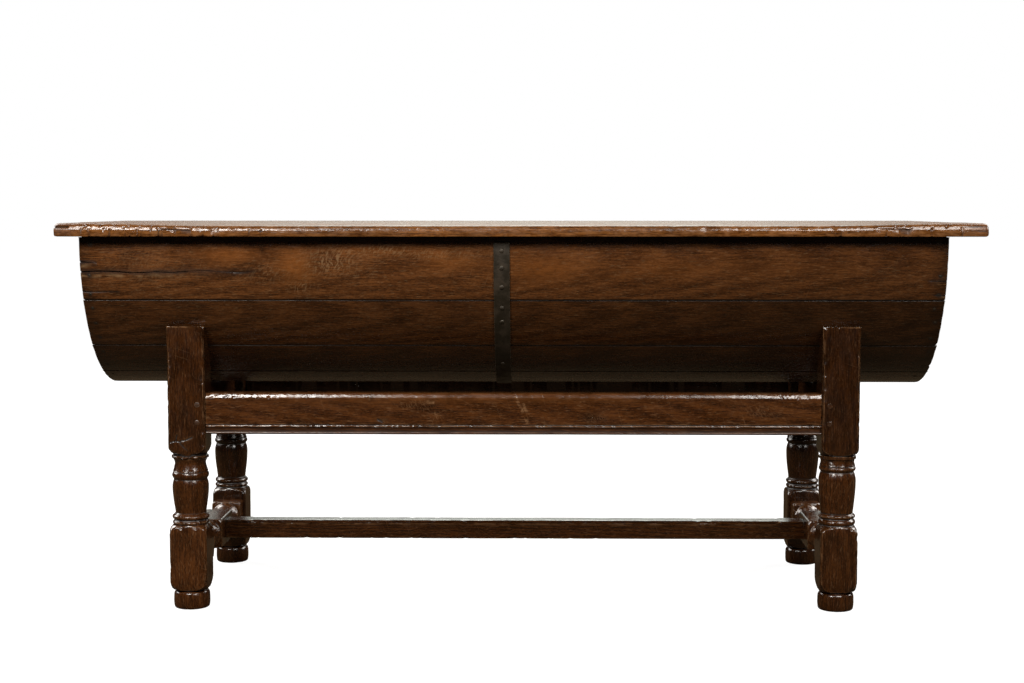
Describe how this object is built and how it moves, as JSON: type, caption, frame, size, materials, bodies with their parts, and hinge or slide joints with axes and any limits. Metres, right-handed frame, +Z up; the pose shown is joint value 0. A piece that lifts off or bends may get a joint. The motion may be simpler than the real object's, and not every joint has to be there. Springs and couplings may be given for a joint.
{
  "type": "dough bin table",
  "caption": "Dough bin table: a half-barrel trough of dark wooden staves with an iron strap and a loose plank lid, cradled in a pegged stand with turned legs, moulded rails and a low stretcher.",
  "frame": {"origin": "on the floor, below the middle of the lid", "axes": "+X along the table to the right as seen from the front, +Y from front to back, +Z up"},
  "size_m": [1.8524, 0.6978, 0.79],
  "materials": {
    "stand_oak": "dark waxed oak, worn and glossy on the turnings and arrises",
    "peg_oak": "dark waxed oak end grain",
    "trough_oak": "dark brown oak, dry wax, darker towards the underside",
    "lid_oak": "warm brown oak, polished by use",
    "iron": "blackened wrought iron"
  },
  "bodies": {
    "stand": {"leg_front_left": "stand_oak", "leg_front_right": "stand_oak", "leg_back_left": "stand_oak", "leg_back_right": "stand_oak", "front_rail": "stand_oak", "back_rail": "stand_oak", "cradle_rail_left": "stand_oak", "cradle_rail_right": "stand_oak", "end_stretcher_left": "stand_oak", "end_stretcher_right": "stand_oak", "long_stretcher": "stand_oak", "peg_front_rail_left_upper": "peg_oak", "peg_front_rail_left_lower": "peg_oak", "peg_front_rail_right_upper": "peg_oak", "peg_front_rail_right_lower": "peg_oak", "peg_back_rail_left_upper": "peg_oak", "peg_back_rail_left_lower": "peg_oak", "peg_back_rail_right_upper": "peg_oak", "peg_back_rail_right_lower": "peg_oak", "peg_cradle_rail_left_front": "peg_oak", "peg_cradle_rail_left_back": "peg_oak", "peg_cradle_rail_right_front": "peg_oak", "peg_cradle_rail_right_back": "peg_oak", "peg_end_stretcher_left_front": "peg_oak", "peg_end_stretcher_left_back": "peg_oak", "peg_end_stretcher_right_front": "peg_oak", "peg_end_stretcher_right_back": "peg_oak", "peg_long_stretcher_left": "peg_oak", "peg_long_stretcher_right": "peg_oak"},
    "trough": {"stave_1": "trough_oak", "stave_2": "trough_oak", "stave_3": "trough_oak", "stave_4": "trough_oak", "stave_5": "trough_oak", "stave_6": "trough_oak", "stave_7": "trough_oak", "stave_8": "trough_oak", "head_left_upper": "trough_oak", "head_left_lower": "trough_oak", "head_right_upper": "trough_oak", "head_right_lower": "trough_oak", "iron_strap": "iron", "strap_nail_front_1": "iron", "strap_nail_front_2": "iron", "strap_nail_front_3": "iron", "strap_nail_front_4": "iron", "strap_nail_front_5": "iron", "strap_nail_front_6": "iron", "strap_nail_back_1": "iron", "strap_nail_back_2": "iron", "strap_nail_back_3": "iron", "strap_nail_back_4": "iron", "strap_nail_back_5": "iron", "strap_nail_back_6": "iron"},
    "lid": {"lid_board_front": "lid_oak", "lid_board_middle": "lid_oak", "lid_board_back": "lid_oak", "lid_batten_left": "lid_oak", "lid_batten_right": "lid_oak"}
  },
  "joints": [
    {"name": "trough_lift", "type": "slide", "parent": "stand", "child": "trough", "axis": [0, 0, 1], "range_m": [0, 0.25]},
    {"name": "lid_lift", "type": "slide", "parent": "trough", "child": "lid", "axis": [0, 0, 1], "range_m": [0, 0.35]}
  ]
}
